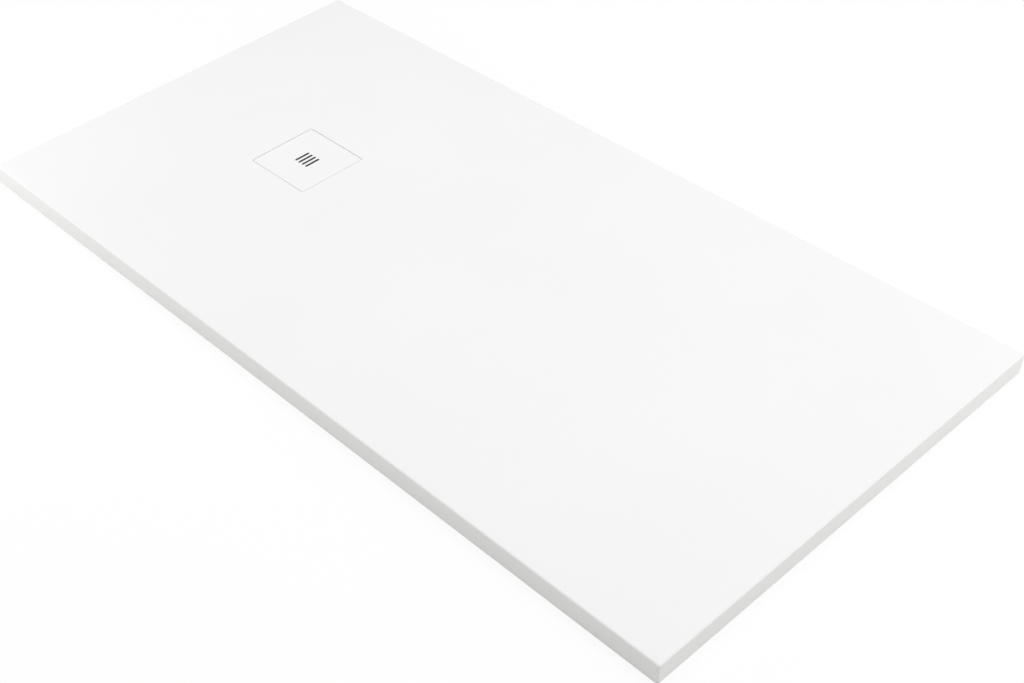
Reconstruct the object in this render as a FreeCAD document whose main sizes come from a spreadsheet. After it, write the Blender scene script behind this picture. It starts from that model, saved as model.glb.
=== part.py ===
import FreeCAD, Part
import math
import os

import Sketcher
from FreeCAD import Vector

# A rectangular shower tray cast in mineral composite, with its flush square cover and the
# waste set that the cover hides. All lengths are millimetres.
#
# Frame: the origin is the centre of the tray's underside, which beds on the floor. +X runs
# along the tray, away from the drain end, +Y runs across it and +Z points up. The trap
# hangs below z = 0, in the recess that the floor leaves for it.

SIZES = (
    # the casting
    ("tray_length", 1500),
    ("tray_width", 800),
    ("tray_height", 35),
    ("corner_round", 5),
    ("rim_round", 3),
    ("rim_width", 25),
    ("surface_fall", 6),
    ("drain_from_end", 375),
    # relief pockets under the casting, with ribs between them
    ("relief_size", 110),
    ("relief_depth", 16),
    ("relief_round", 12),
    ("relief_margin", 60),
    ("rib_width", 30),
    ("drain_block", 180),
    # the square cover and its recess
    ("cover_size", 135),
    ("cover_thickness", 6),
    ("cover_round", 3),
    ("cover_edge", 0.8),
    ("cover_gap", 1.5),
    ("recess_margin", 4),
    ("slot_count", 4),
    ("slot_width", 4.5),
    ("slot_length", 31.5),
    ("slot_pitch", 9),
    ("pad_radius", 6),
    ("pad_height", 6),
    ("pad_inset", 14),
    # the waste hole, its seats and its two seals
    ("hole_radius", 45),
    ("seat_radius", 59),
    ("seat_depth", 4),
    ("under_seat_radius", 75),
    ("under_seat_depth", 6),
    ("seal_bore_gap", 1),
    ("seal_inset", 2),
    ("upper_seal_thickness", 2),
    ("lower_seal_thickness", 3),
    # the flange, clamped by screws into the trap's collar
    ("flange_radius", 57),
    ("flange_thickness", 3),
    ("flange_edge", 1),
    ("throat_radius", 33),
    ("skirt_wall", 2),
    ("skirt_length", 9),
    ("screw_circle", 40),
    ("screw_count", 4),
    ("screw_radius", 2.45),
    ("screw_head_radius", 4.6),
    ("screw_length", 23),
    ("screw_clearance", 0.25),
    ("drive_size", 3),
    ("drive_depth", 1.8),
    # the trap's top ring, with the inserts that take the screws
    ("collar_radius", 60),
    ("collar_thickness", 5),
    ("top_ring_depth", 12),
    ("top_ring_bore", 29),
    ("insert_radius", 4),
    ("insert_length", 11),
    # the pot
    ("pot_radius", 50),
    ("pot_wall", 3),
    ("pot_height", 96),
    ("pot_round", 4),
    ("weld_gap", 0.2),
    # the lift-out dip tube with its seal
    ("dip_radius", 26),
    ("dip_wall", 2),
    ("dip_length", 73),
    ("dip_head_radius", 32),
    ("dip_head_thickness", 3),
    ("dip_plug_length", 11),
    ("dip_clearance", 0.3),
    ("dip_bar_width", 5),
    ("dip_bar_height", 6),
    ("dip_bar_depth", 22),
    ("groove_depth", 2.3),
    ("groove_height", 3.2),
    ("groove_offset", 4.3),
    ("o_ring_section", 1.2),
    ("o_ring_clearance", 0.15),
    # the hair strainer
    ("strainer_rim_radius", 31.5),
    ("strainer_wall", 1.5),
    ("strainer_basket_radius", 22.5),
    ("strainer_basket_depth", 12),
    ("strainer_hole_radius", 2.2),
    ("strainer_inner_circle", 8),
    ("strainer_inner_count", 6),
    ("strainer_outer_circle", 16),
    ("strainer_outer_count", 12),
    ("strainer_knob_radius", 3.5),
    ("strainer_knob_height", 14),
    # the outlet: socket, swivelling elbow and compression joint
    ("outlet_depth", 36),
    ("pipe_radius", 20),
    ("pipe_wall", 2),
    ("pipe_clearance", 0.1),
    ("socket_wall", 3),
    ("socket_reach", 92),
    ("socket_depth", 28),
    ("socket_step", 3),
    ("thread_height", 1),
    ("thread_length", 20),
    ("elbow_engagement", 26),
    ("elbow_bend_start", 108),
    ("elbow_bend_radius", 30),
    ("spigot_length", 45),
    ("spigot_chamfer", 1),
    ("washer_length", 7),
    ("washer_wall", 3),
    ("washer_gap", 0.35),
    ("slip_ring_length", 1.5),
    ("nut_wall", 4.8),
    ("nut_end_wall", 3.5),
    ("nut_clearance", 0.2),
    ("nut_engagement", 16),
    ("nut_flutes", 12),
    ("nut_flute_radius", 2.5),
)

document = FreeCAD.newDocument("ShowerTray")
sheet = document.addObject("Spreadsheet::Sheet", "Sizes")
for row, (alias, value) in enumerate(SIZES, start=1):
    sheet.set(f"A{row}", alias)
    sheet.set(f"B{row}", str(value))
    sheet.setAlias(f"B{row}", alias)
document.recompute()

bodies = []


# ---- levels and places that follow from the sizes --------------------------------------

S = "Sizes."
DRAIN_X = f"({S}drain_from_end - {S}tray_length / 2)"
EDGE_LEVEL = f"({S}tray_height - {S}surface_fall)"
COVER_UNDERSIDE = f"({EDGE_LEVEL} - {S}cover_thickness)"
RECESS_FLOOR = f"({COVER_UNDERSIDE} - {S}pad_height)"
RECESS_SIZE = f"({S}cover_size + 2 * {S}cover_gap)"
SEAT_LEVEL = f"({RECESS_FLOOR} - {S}seat_depth)"
FLANGE_UNDERSIDE = f"({SEAT_LEVEL} + {S}upper_seal_thickness)"
FLANGE_TOP = f"({FLANGE_UNDERSIDE} + {S}flange_thickness)"
COLLAR_TOP = f"({S}under_seat_depth - {S}lower_seal_thickness)"
POT_MOUTH = f"({COLLAR_TOP} - {S}collar_thickness)"
POT_INSIDE = f"({S}pot_radius - {S}pot_wall)"
HEAD_TOP = f"({COLLAR_TOP} + {S}dip_head_thickness)"
SOCKET_BORE = f"({S}pipe_radius + {S}pipe_clearance)"
SOCKET_OUTSIDE = f"({SOCKET_BORE} + {S}socket_wall)"
THREAD_RADIUS = f"({SOCKET_OUTSIDE} + {S}thread_height)"
OUTLET_LEVEL = f"(-{S}outlet_depth)"
RELIEF_PITCH = f"({S}relief_size + {S}rib_width)"
ORIGIN = "0"


# ---- modelling helpers -----------------------------------------------------------------


def new_body(label, x=ORIGIN, z=ORIGIN):
    """A body whose own axes are the tray's, moved to x and z."""
    body = document.addObject("PartDesign::Body", label)
    body.Label = label
    body.AllowCompound = True
    body.setExpression(".Placement.Base.x", x)
    body.setExpression(".Placement.Base.z", z)
    bodies.append(body)
    return body


def origin_feature(body, role):
    return next(f for f in body.Origin.OriginFeatures if f.Role == role)


def new_sketch(body, name, role="XY_Plane", level=None):
    """A sketch on one of the body's own planes, or level away from it."""
    sketch = body.newObject("Sketcher::SketchObject", name)
    sketch.AttachmentSupport = [(origin_feature(body, role), "")]
    sketch.MapMode = "FlatFace"
    if level is not None:
        sketch.setExpression(".AttachmentOffset.Base.z", level)
    return sketch


def value_of(expression):
    return float(sheet.evalExpression(expression.replace(S, "")))


def fitting_reliefs(span):
    """How many relief pockets fit in one direction, inside the solid border."""
    room = f"({span} - 2 * {S}relief_margin + {S}rib_width)"
    return f"floor({room} / {RELIEF_PITCH})"


def place_point(sketch, geometry, point, x, y):
    """Holds one point of a sketch at coordinates bound to the sheet."""
    for kind, expression in (("DistanceX", x), ("DistanceY", y)):
        held = sketch.addConstraint(
            Sketcher.Constraint(kind, -1, 1, geometry, point, value_of(expression))
        )
        sketch.setExpression(f"Constraints[{held}]", expression)


def draw_outline(sketch, corners):
    """A closed polygon through corners, each a pair of expressions."""
    points = [Vector(value_of(x), value_of(y), 0) for x, y in corners]
    first = sketch.GeometryCount
    count = len(points)
    for i in range(count):
        sketch.addGeometry(Part.LineSegment(points[i], points[(i + 1) % count]), False)
    for i in range(count):
        following = first + (i + 1) % count
        sketch.addConstraint(Sketcher.Constraint("Coincident", first + i, 2, following, 1))
    for i, (x, y) in enumerate(corners):
        place_point(sketch, first + i, 1, x, y)


def draw_rectangle(sketch, width, depth, x=ORIGIN, y=ORIGIN):
    """A rectangle of that width and depth about the point x, y."""
    left, right = f"{x} - {width} / 2", f"{x} + {width} / 2"
    front, back = f"{y} - {depth} / 2", f"{y} + {depth} / 2"
    draw_outline(sketch, [(left, front), (right, front), (right, back), (left, back)])


def draw_rounded(sketch, width, depth, radius, x=ORIGIN, y=ORIGIN):
    """A rectangle about the point x, y with corners of that radius."""
    out = f"({width} / 2 - {radius})"
    back = f"({depth} / 2 - {radius})"
    signs = ((1, 1), (-1, 1), (-1, -1), (1, -1))
    centres = [(f"{x} + {i} * {out}", f"{y} + {j} * {back}") for i, j in signs]
    size = value_of(radius)
    points = [Vector(value_of(a), value_of(b), 0) for a, b in centres]
    arcs, sides = [], []
    for turn, point in enumerate(points):
        start = math.radians(90 * turn)
        circle = Part.Circle(point, Vector(0, 0, 1), size)
        arc = Part.ArcOfCircle(circle, start, start + math.pi / 2)
        following = points[(turn + 1) % len(points)]
        offset = Vector(-math.sin(start), math.cos(start), 0) * size
        arcs.append(sketch.addGeometry(arc, False))
        side = Part.LineSegment(point + offset, following + offset)
        sides.append(sketch.addGeometry(side, False))
    for turn, (arc, side) in enumerate(zip(arcs, sides)):
        following = arcs[(turn + 1) % len(arcs)]
        sketch.addConstraint(Sketcher.Constraint("Tangent", arc, 2, side, 1))
        sketch.addConstraint(Sketcher.Constraint("Tangent", side, 2, following, 1))
        place_point(sketch, arc, 3, *centres[turn])
        if turn:
            sketch.addConstraint(Sketcher.Constraint("Equal", arcs[0], arc))
    held = sketch.addConstraint(Sketcher.Constraint("Radius", arcs[0], size))
    sketch.setExpression(f"Constraints[{held}]", radius)


def draw_circle(sketch, radius, x=ORIGIN, y=ORIGIN):
    centre = Vector(value_of(x), value_of(y), 0)
    circle = sketch.addGeometry(
        Part.Circle(centre, Vector(0, 0, 1), value_of(radius)), False
    )
    place_point(sketch, circle, 3, x, y)
    size = sketch.addConstraint(Sketcher.Constraint("Radius", circle, value_of(radius)))
    sketch.setExpression(f"Constraints[{size}]", radius)


def pad(body, name, sketch, length, reverse=False):
    feature = body.newObject("PartDesign::Pad", name)
    feature.Profile = sketch
    feature.setExpression("Length", length)
    feature.Reversed = reverse
    return feature


def pocket(body, name, sketch, depth, upwards=False):
    """Cuts depth deep, down or towards -X, or up where upwards is set."""
    feature = body.newObject("PartDesign::Pocket", name)
    feature.Profile = sketch
    feature.setExpression("Length", depth)
    feature.Reversed = upwards
    return feature


def revolve(body, name, profile, axis="V_Axis", role="XZ_Plane"):
    """Turns a closed profile, given as points, about an axis of its own sketch."""
    sketch = new_sketch(body, f"{name}_profile", role)
    draw_outline(sketch, profile)
    feature = body.newObject("PartDesign::Revolution", name)
    feature.Profile = sketch
    feature.ReferenceAxis = (sketch, [axis])
    feature.Angle = 360
    return feature


def repeat_round(body, name, features, count, axis="Z_Axis"):
    """Repeats features evenly about one of the body's axes."""
    document.recompute()
    pattern = body.newObject("PartDesign::PolarPattern", name)
    pattern.Originals = features
    pattern.Axis = (origin_feature(body, axis), [""])
    pattern.Angle = 360
    pattern.setExpression("Occurrences", count)
    body.Tip = pattern
    return pattern


def edges_where(feature, test):
    """The names of the edges of a feature whose middle point passes a test."""
    names = []
    for number, edge in enumerate(feature.Shape.Edges, start=1):
        middle = edge.valueAt((edge.FirstParameter + edge.LastParameter) / 2)
        if test(edge, middle):
            names.append(f"Edge{number}")
    return names


def round_edges(body, name, feature, test, radius):
    document.recompute()
    fillet = body.newObject("PartDesign::Fillet", name)
    fillet.Base = (feature, edges_where(feature, test))
    fillet.setExpression("Radius", radius)
    return fillet


def bevel_edges(body, name, feature, test, size):
    document.recompute()
    chamfer = body.newObject("PartDesign::Chamfer", name)
    chamfer.Base = (feature, edges_where(feature, test))
    chamfer.setExpression("Size", size)
    return chamfer


def at_height(expression):
    level = value_of(expression)
    return lambda edge, middle: abs(middle.z - level) < 1e-4


def ring(label, inner, outer, bottom, height, x=DRAIN_X):
    """A flat ring about the drain's axis."""
    body = new_body(label, x)
    sketch = new_sketch(body, f"{label}_section", level=bottom)
    draw_circle(sketch, outer)
    draw_circle(sketch, inner)
    pad(body, f"{label}_ring", sketch, height)
    return body


# ---- the casting -----------------------------------------------------------------------


def make_tray():
    body = new_body("tray")
    plan = new_sketch(body, "tray_plan")
    draw_rounded(plan, f"{S}tray_length", f"{S}tray_width", f"{S}corner_round")
    slab = pad(body, "tray_slab", plan, f"{S}tray_height")
    top = at_height(f"{S}tray_height")
    round_edges(body, "tray_top_edge", slab, top, f"{S}rim_round")

    relief_plan = new_sketch(body, "relief_plan")
    columns, rows = fitting_reliefs(f"{S}tray_length"), fitting_reliefs(f"{S}tray_width")
    row_length = f"({columns} - 1) * {RELIEF_PITCH}"
    column_length = f"({rows} - 1) * {RELIEF_PITCH}"
    side = f"{S}relief_size"
    first_x, first_y = f"-{row_length} / 2", f"-{column_length} / 2"
    draw_rounded(relief_plan, side, side, f"{S}relief_round", first_x, first_y)
    relief = pocket(body, "relief", relief_plan, f"{S}relief_depth", upwards=True)
    document.recompute()
    reliefs = body.newObject("PartDesign::LinearPattern", "reliefs")
    reliefs.Originals = [relief]
    reliefs.Direction = (origin_feature(body, "X_Axis"), [""])
    reliefs.Direction2 = (origin_feature(body, "Y_Axis"), [""])
    reliefs.setExpression("Length", row_length)
    reliefs.setExpression("Length2", column_length)
    reliefs.setExpression("Occurrences", columns)
    reliefs.setExpression("Occurrences2", rows)
    body.Tip = reliefs

    # the casting stays solid about the drain
    block_plan = new_sketch(body, "drain_block_plan")
    draw_rectangle(block_plan, f"{S}drain_block", f"{S}drain_block", DRAIN_X)
    pad(body, "drain_block", block_plan, f"{S}relief_depth")

    # four shallow planes fall from the level rim to the cover's recess
    fall_top = new_sketch(body, "fall_top", level=f"{S}tray_height")
    inside_length = f"({S}tray_length - 2 * {S}rim_width)"
    inside_width = f"({S}tray_width - 2 * {S}rim_width)"
    draw_rectangle(fall_top, inside_length, inside_width)
    fall_foot = new_sketch(body, "fall_foot", level=EDGE_LEVEL)
    foot_size = f"({RECESS_SIZE} + 2 * {S}recess_margin)"
    draw_rectangle(fall_foot, foot_size, foot_size, DRAIN_X)
    fall = body.newObject("PartDesign::SubtractiveLoft", "fall")
    fall.Profile = fall_top
    fall.Sections = [fall_foot]
    fall.Ruled = True

    recess_plan = new_sketch(body, "recess_plan", level=EDGE_LEVEL)
    recess_round = f"({S}cover_round + {S}cover_gap)"
    draw_rounded(recess_plan, RECESS_SIZE, RECESS_SIZE, recess_round, DRAIN_X)
    pocket(body, "recess", recess_plan, f"{EDGE_LEVEL} - {RECESS_FLOOR}")

    seat_plan = new_sketch(body, "seat_plan", level=RECESS_FLOOR)
    draw_circle(seat_plan, f"{S}seat_radius", DRAIN_X)
    pocket(body, "seat", seat_plan, f"{S}seat_depth")

    hole_plan = new_sketch(body, "hole_plan", level=SEAT_LEVEL)
    draw_circle(hole_plan, f"{S}hole_radius", DRAIN_X)
    pocket(body, "waste_hole", hole_plan, SEAT_LEVEL)

    under_plan = new_sketch(body, "under_seat_plan")
    draw_circle(under_plan, f"{S}under_seat_radius", DRAIN_X)
    pocket(body, "under_seat", under_plan, f"{S}under_seat_depth", upwards=True)


# ---- the cover -------------------------------------------------------------------------


def make_cover():
    body = new_body("cover_plate", DRAIN_X)
    plan = new_sketch(body, "cover_plan", level=COVER_UNDERSIDE)
    draw_rounded(plan, f"{S}cover_size", f"{S}cover_size", f"{S}cover_round")
    plate = pad(body, "cover_slab", plan, f"{S}cover_thickness")
    bevel_edges(body, "cover_top_edge", plate, at_height(EDGE_LEVEL), f"{S}cover_edge")

    slot_plan = new_sketch(body, "slot_plan", level=EDGE_LEVEL)
    first_slot = f"-({S}slot_count - 1) / 2 * {S}slot_pitch"
    width, length = f"{S}slot_width", f"{S}slot_length"
    draw_rounded(slot_plan, width, length, f"({S}slot_width * 0.45)", first_slot)
    slot = pocket(body, "slot", slot_plan, f"{S}cover_thickness")
    document.recompute()
    slots = body.newObject("PartDesign::LinearPattern", "slots")
    slots.Originals = [slot]
    slots.Direction = (origin_feature(body, "X_Axis"), [""])
    slots.setExpression("Length", f"({S}slot_count - 1) * {S}slot_pitch")
    slots.setExpression("Occurrences", f"{S}slot_count")
    body.Tip = slots


def make_cover_pads():
    """Four rubber feet under the cover's corners, standing on the recess's floor."""
    out = f"({S}cover_size / 2 - {S}pad_inset)"
    corners = ((out, out), (f"-{out}", out), (f"-{out}", f"-{out}"), (out, f"-{out}"))
    for number, (x, y) in enumerate(corners, start=1):
        body = new_body(f"cover_pad_{number}", DRAIN_X)
        plan = new_sketch(body, f"pad_{number}_plan", level=RECESS_FLOOR)
        draw_circle(plan, f"{S}pad_radius", x, y)
        pad(body, f"pad_{number}_foot", plan, f"{S}pad_height")


# ---- what clamps the trap through the waste hole ---------------------------------------


def make_seals():
    inner = f"({S}hole_radius + {S}seal_bore_gap)"
    upper, lower = f"{S}upper_seal_thickness", f"{S}lower_seal_thickness"
    ring("upper_seal", inner, f"{S}flange_radius", SEAT_LEVEL, upper)
    outer = f"({S}collar_radius - {S}seal_inset)"
    ring("lower_seal", inner, outer, COLLAR_TOP, lower)


def make_flange():
    body = new_body("waste_flange", DRAIN_X)
    throat, outside = f"{S}throat_radius", f"{S}flange_radius"
    skirt = f"({S}throat_radius + {S}skirt_wall)"
    skirt_foot = f"({FLANGE_UNDERSIDE} - {S}skirt_length)"
    profile = [
        (throat, skirt_foot),
        (skirt, skirt_foot),
        (skirt, FLANGE_UNDERSIDE),
        (outside, FLANGE_UNDERSIDE),
        (outside, f"{FLANGE_TOP} - {S}flange_edge"),
        (f"{outside} - {S}flange_edge", FLANGE_TOP),
        (throat, FLANGE_TOP),
    ]
    revolve(body, "flange_ring", profile)
    hole_plan = new_sketch(body, "flange_hole_plan", level=FLANGE_TOP)
    draw_circle(hole_plan, f"({S}screw_radius + {S}screw_clearance)", f"{S}screw_circle")
    hole = pocket(body, "flange_hole", hole_plan, f"{S}flange_thickness")
    sink_plan = new_sketch(body, "flange_sink_plan", level=FLANGE_TOP)
    head = f"({S}screw_head_radius + {S}screw_clearance)"
    draw_circle(sink_plan, head, f"{S}screw_circle")
    sink_depth = f"({S}screw_head_radius - {S}screw_radius)"
    sink = pocket(body, "flange_sink", sink_plan, sink_depth)
    sink.TaperAngle = -45
    repeat_round(body, "flange_holes", [hole, sink], f"{S}screw_count")


def make_screws():
    """Countersunk screws from the flange down into the trap's inserts."""
    body = new_body("flange_screws", DRAIN_X)
    centre = f"{S}screw_circle"
    shank = f"({centre} + {S}screw_radius)"
    tip = f"({FLANGE_TOP} - {S}screw_length)"
    under_head = f"({FLANGE_TOP} - {S}screw_head_radius + {S}screw_radius)"
    sketch = new_sketch(body, "screw_profile", "XZ_Plane")
    draw_outline(
        sketch,
        [
            (centre, tip),
            (f"({shank} - {S}screw_radius / 3)", tip),
            (shank, f"({tip} + {S}screw_radius / 3)"),
            (shank, under_head),
            (f"({centre} + {S}screw_head_radius)", FLANGE_TOP),
            (centre, FLANGE_TOP),
        ],
    )
    axis = Part.LineSegment(
        Vector(value_of(centre), value_of(FLANGE_TOP), 0), Vector(value_of(centre), 0, 0)
    )
    line = sketch.addGeometry(axis, True)
    place_point(sketch, line, 1, centre, FLANGE_TOP)
    place_point(sketch, line, 2, centre, "0")
    screw = body.newObject("PartDesign::Revolution", "screw")
    screw.Profile = sketch
    screw.ReferenceAxis = (sketch, ["Axis0"])
    screw.Angle = 360
    drive_plan = new_sketch(body, "drive_plan", level=FLANGE_TOP)
    corner_distance = f"({S}drive_size / 2 / cos(30 deg))"
    corners = [
        (f"{centre} + {corner_distance} * cos({turn} deg)", f"{corner_distance} * sin({turn} deg)")
        for turn in range(0, 360, 60)
    ]
    draw_outline(drive_plan, corners)
    drive = pocket(body, "drive", drive_plan, f"{S}drive_depth")
    repeat_round(body, "screws", [screw, drive], f"{S}screw_count")


# ---- the trap --------------------------------------------------------------------------


def make_trap_top():
    """The collar under the tray, and the ring that the dip tube hangs in."""
    body = new_body("trap_top", DRAIN_X)
    plug = f"({POT_INSIDE} - {S}weld_gap)"
    foot = f"({COLLAR_TOP} - {S}top_ring_depth)"
    profile = [
        (f"{S}top_ring_bore", foot),
        (plug, foot),
        (plug, POT_MOUTH),
        (f"{S}collar_radius", POT_MOUTH),
        (f"{S}collar_radius", COLLAR_TOP),
        (f"{S}top_ring_bore", COLLAR_TOP),
    ]
    revolve(body, "collar", profile)
    hole_plan = new_sketch(body, "insert_hole_plan", level=COLLAR_TOP)
    draw_circle(hole_plan, f"{S}insert_radius", f"{S}screw_circle")
    hole = pocket(body, "insert_hole", hole_plan, f"{S}insert_length")
    repeat_round(body, "insert_holes", [hole], f"{S}screw_count")


def make_inserts():
    """Brass sleeves in the top ring's blind holes."""
    body = new_body("brass_inserts", DRAIN_X)
    sketch = new_sketch(body, "insert_section", level=f"{COLLAR_TOP} - {S}insert_length")
    draw_circle(sketch, f"{S}insert_radius", f"{S}screw_circle")
    draw_circle(sketch, f"({S}screw_radius + {S}screw_clearance / 2)", f"{S}screw_circle")
    insert = pad(body, "insert", sketch, f"{S}insert_length")
    repeat_round(body, "inserts", [insert], f"{S}screw_count")


def make_pot():
    """The pot, with the outlet socket on its side."""
    body = new_body("trap_pot", DRAIN_X)
    floor = f"({POT_MOUTH} - {S}pot_height)"
    plan = new_sketch(body, "pot_plan", level=floor)
    draw_circle(plan, f"{S}pot_radius")
    outside = pad(body, "pot_outside", plan, f"{S}pot_height")
    round_edges(body, "pot_foot", outside, at_height(floor), f"{S}pot_round")

    socket_plan = new_sketch(body, "socket_plan", "YZ_Plane")
    draw_circle(socket_plan, SOCKET_OUTSIDE, ORIGIN, OUTLET_LEVEL)
    pad(body, "socket", socket_plan, f"{S}socket_reach", reverse=True)
    thread_start = f"-({S}socket_reach - {S}thread_length)"
    thread_plan = new_sketch(body, "thread_plan", "YZ_Plane", thread_start)
    draw_circle(thread_plan, THREAD_RADIUS, ORIGIN, OUTLET_LEVEL)
    pad(body, "thread_land", thread_plan, f"{S}thread_length", reverse=True)

    inside_plan = new_sketch(body, "inside_plan", level=POT_MOUTH)
    draw_circle(inside_plan, POT_INSIDE)
    pocket(body, "inside", inside_plan, f"{S}pot_height - {S}pot_wall")
    way_plan = new_sketch(body, "way_plan", "YZ_Plane")
    draw_circle(way_plan, f"({S}pipe_radius - {S}socket_step)", ORIGIN, OUTLET_LEVEL)
    pocket(body, "way_out", way_plan, f"{S}socket_reach")
    bore_start = f"-({S}socket_reach - {S}socket_depth)"
    bore_plan = new_sketch(body, "bore_plan", "YZ_Plane", bore_start)
    draw_circle(bore_plan, SOCKET_BORE, ORIGIN, OUTLET_LEVEL)
    pocket(body, "socket_bore", bore_plan, f"{S}socket_depth")


# ---- what lifts out of the trap --------------------------------------------------------


def make_dip_tube():
    """The tube whose foot stands in the pot's water, hung by its head."""
    body = new_body("dip_tube", DRAIN_X)
    bore = f"({S}dip_radius - {S}dip_wall)"
    plug = f"({S}top_ring_bore - {S}dip_clearance)"
    plug_foot = f"({COLLAR_TOP} - {S}dip_plug_length)"
    foot = f"({plug_foot} - {S}dip_length)"
    groove_top = f"({COLLAR_TOP} - {S}groove_offset)"
    groove_foot = f"({groove_top} - {S}groove_height)"
    groove = f"({plug} - {S}groove_depth)"
    profile = [
        (bore, foot),
        (f"{S}dip_radius", foot),
        (f"{S}dip_radius", plug_foot),
        (plug, plug_foot),
        (plug, groove_foot),
        (groove, groove_foot),
        (groove, groove_top),
        (plug, groove_top),
        (plug, COLLAR_TOP),
        (f"{S}dip_head_radius", COLLAR_TOP),
        (f"{S}dip_head_radius", HEAD_TOP),
        (bore, HEAD_TOP),
    ]
    revolve(body, "dip_wall_turned", profile)
    bar_plan = new_sketch(body, "bar_plan", level=f"{COLLAR_TOP} - {S}dip_bar_depth")
    draw_rectangle(bar_plan, f"(2 * {S}dip_radius - {S}dip_wall)", f"{S}dip_bar_width")
    pad(body, "lifting_bar", bar_plan, f"{S}dip_bar_height", reverse=True)


def make_o_ring():
    """The dip tube's O-ring, squeezed into its groove."""
    ring_body = document.addObject("Part::Torus", "dip_tube_o_ring")
    ring_body.Label = "dip_tube_o_ring"
    outside = f"({S}top_ring_bore - {S}o_ring_clearance)"
    ring_body.setExpression("Radius1", f"{outside} - {S}o_ring_section")
    ring_body.setExpression("Radius2", f"{S}o_ring_section")
    ring_body.setExpression(".Placement.Base.x", DRAIN_X)
    middle = f"{COLLAR_TOP} - {S}groove_offset - {S}groove_height / 2"
    ring_body.setExpression(".Placement.Base.z", middle)
    bodies.append(ring_body)


def make_strainer():
    """A perforated basket with a knob, hung in the dip tube's head."""
    body = new_body("hair_strainer", DRAIN_X)
    rim_top = f"({HEAD_TOP} + {S}strainer_wall)"
    basket_foot = f"({HEAD_TOP} - {S}strainer_basket_depth)"
    floor_top = f"({basket_foot} + {S}strainer_wall)"
    inside = f"({S}strainer_basket_radius - {S}strainer_wall)"
    knob_top = f"({basket_foot} + {S}strainer_knob_height)"
    profile = [
        (ORIGIN, basket_foot),
        (f"{S}strainer_basket_radius", basket_foot),
        (f"{S}strainer_basket_radius", HEAD_TOP),
        (f"{S}strainer_rim_radius", HEAD_TOP),
        (f"{S}strainer_rim_radius", rim_top),
        (inside, rim_top),
        (inside, floor_top),
        (f"{S}strainer_knob_radius", floor_top),
        (f"{S}strainer_knob_radius", knob_top),
        (ORIGIN, knob_top),
    ]
    revolve(body, "basket", profile)
    for place in ("inner", "outer"):
        hole_plan = new_sketch(body, f"{place}_hole_plan", level=floor_top)
        circle = f"{S}strainer_{place}_circle"
        draw_circle(hole_plan, f"{S}strainer_hole_radius", circle)
        hole = pocket(body, f"{place}_hole", hole_plan, f"{S}strainer_wall")
        repeat_round(body, f"{place}_holes", [hole], f"{S}strainer_{place}_count")


# ---- the outlet ------------------------------------------------------------------------


def make_elbow():
    """A bend that slides into the socket and can be turned about the socket's axis."""
    body = new_body("outlet_elbow", DRAIN_X, OUTLET_LEVEL)
    start = f"-({S}socket_reach - {S}elbow_engagement)"
    bend = f"-{S}elbow_bend_start"
    far = f"(-{S}elbow_bend_start - {S}elbow_bend_radius)"
    tip = f"({S}elbow_bend_radius + {S}spigot_length)"
    path = new_sketch(body, "elbow_path")
    points = [(start, ORIGIN), (bend, ORIGIN), (far, f"{S}elbow_bend_radius"), (far, tip)]
    at = [Vector(value_of(x), value_of(y), 0) for x, y in points]
    centre = Vector(at[1].x, at[2].y, 0)
    circle = Part.Circle(centre, Vector(0, 0, 1), at[1].x - at[2].x)
    quarter = Part.ArcOfCircle(circle, math.pi, 3 * math.pi / 2)
    leg = path.addGeometry(Part.LineSegment(at[0], at[1]), False)
    arc = path.addGeometry(quarter, False)
    spigot = path.addGeometry(Part.LineSegment(at[2], at[3]), False)
    path.addConstraint(Sketcher.Constraint("Coincident", leg, 2, arc, 2))
    path.addConstraint(Sketcher.Constraint("Coincident", arc, 1, spigot, 1))
    place_point(path, leg, 1, *points[0])
    place_point(path, leg, 2, *points[1])
    place_point(path, spigot, 1, *points[2])
    place_point(path, spigot, 2, *points[3])
    held = path.addConstraint(Sketcher.Constraint("DistanceX", -1, 1, arc, 3, centre.x))
    path.setExpression(f"Constraints[{held}]", bend)
    section = new_sketch(body, "elbow_section", "YZ_Plane", start)
    draw_circle(section, f"{S}pipe_radius")
    draw_circle(section, f"({S}pipe_radius - {S}pipe_wall)")
    document.recompute()
    pipe = body.newObject("PartDesign::AdditivePipe", "elbow_pipe")
    pipe.Profile = section
    pipe.Spine = (path, [f"Edge{i}" for i in (1, 2, 3)])
    document.recompute()
    end_level, outer = value_of(tip), value_of(f"{S}pipe_radius")

    def at_tip(edge, middle):
        on_end = abs(middle.y - end_level) < 1e-3
        return on_end and abs(getattr(edge.Curve, "Radius", 0) - outer) < 1e-3

    bevel_edges(body, "spigot_edge", pipe, at_tip, f"{S}spigot_chamfer")


def outlet_ring(label, profile):
    """A piece turned about the socket's axis, from points given as (reach, radius)."""
    body = new_body(label, DRAIN_X, OUTLET_LEVEL)
    points = [(f"-{reach}", radius) for reach, radius in profile]
    revolve(body, f"{label}_turned", points, axis="H_Axis")
    return body


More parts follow.
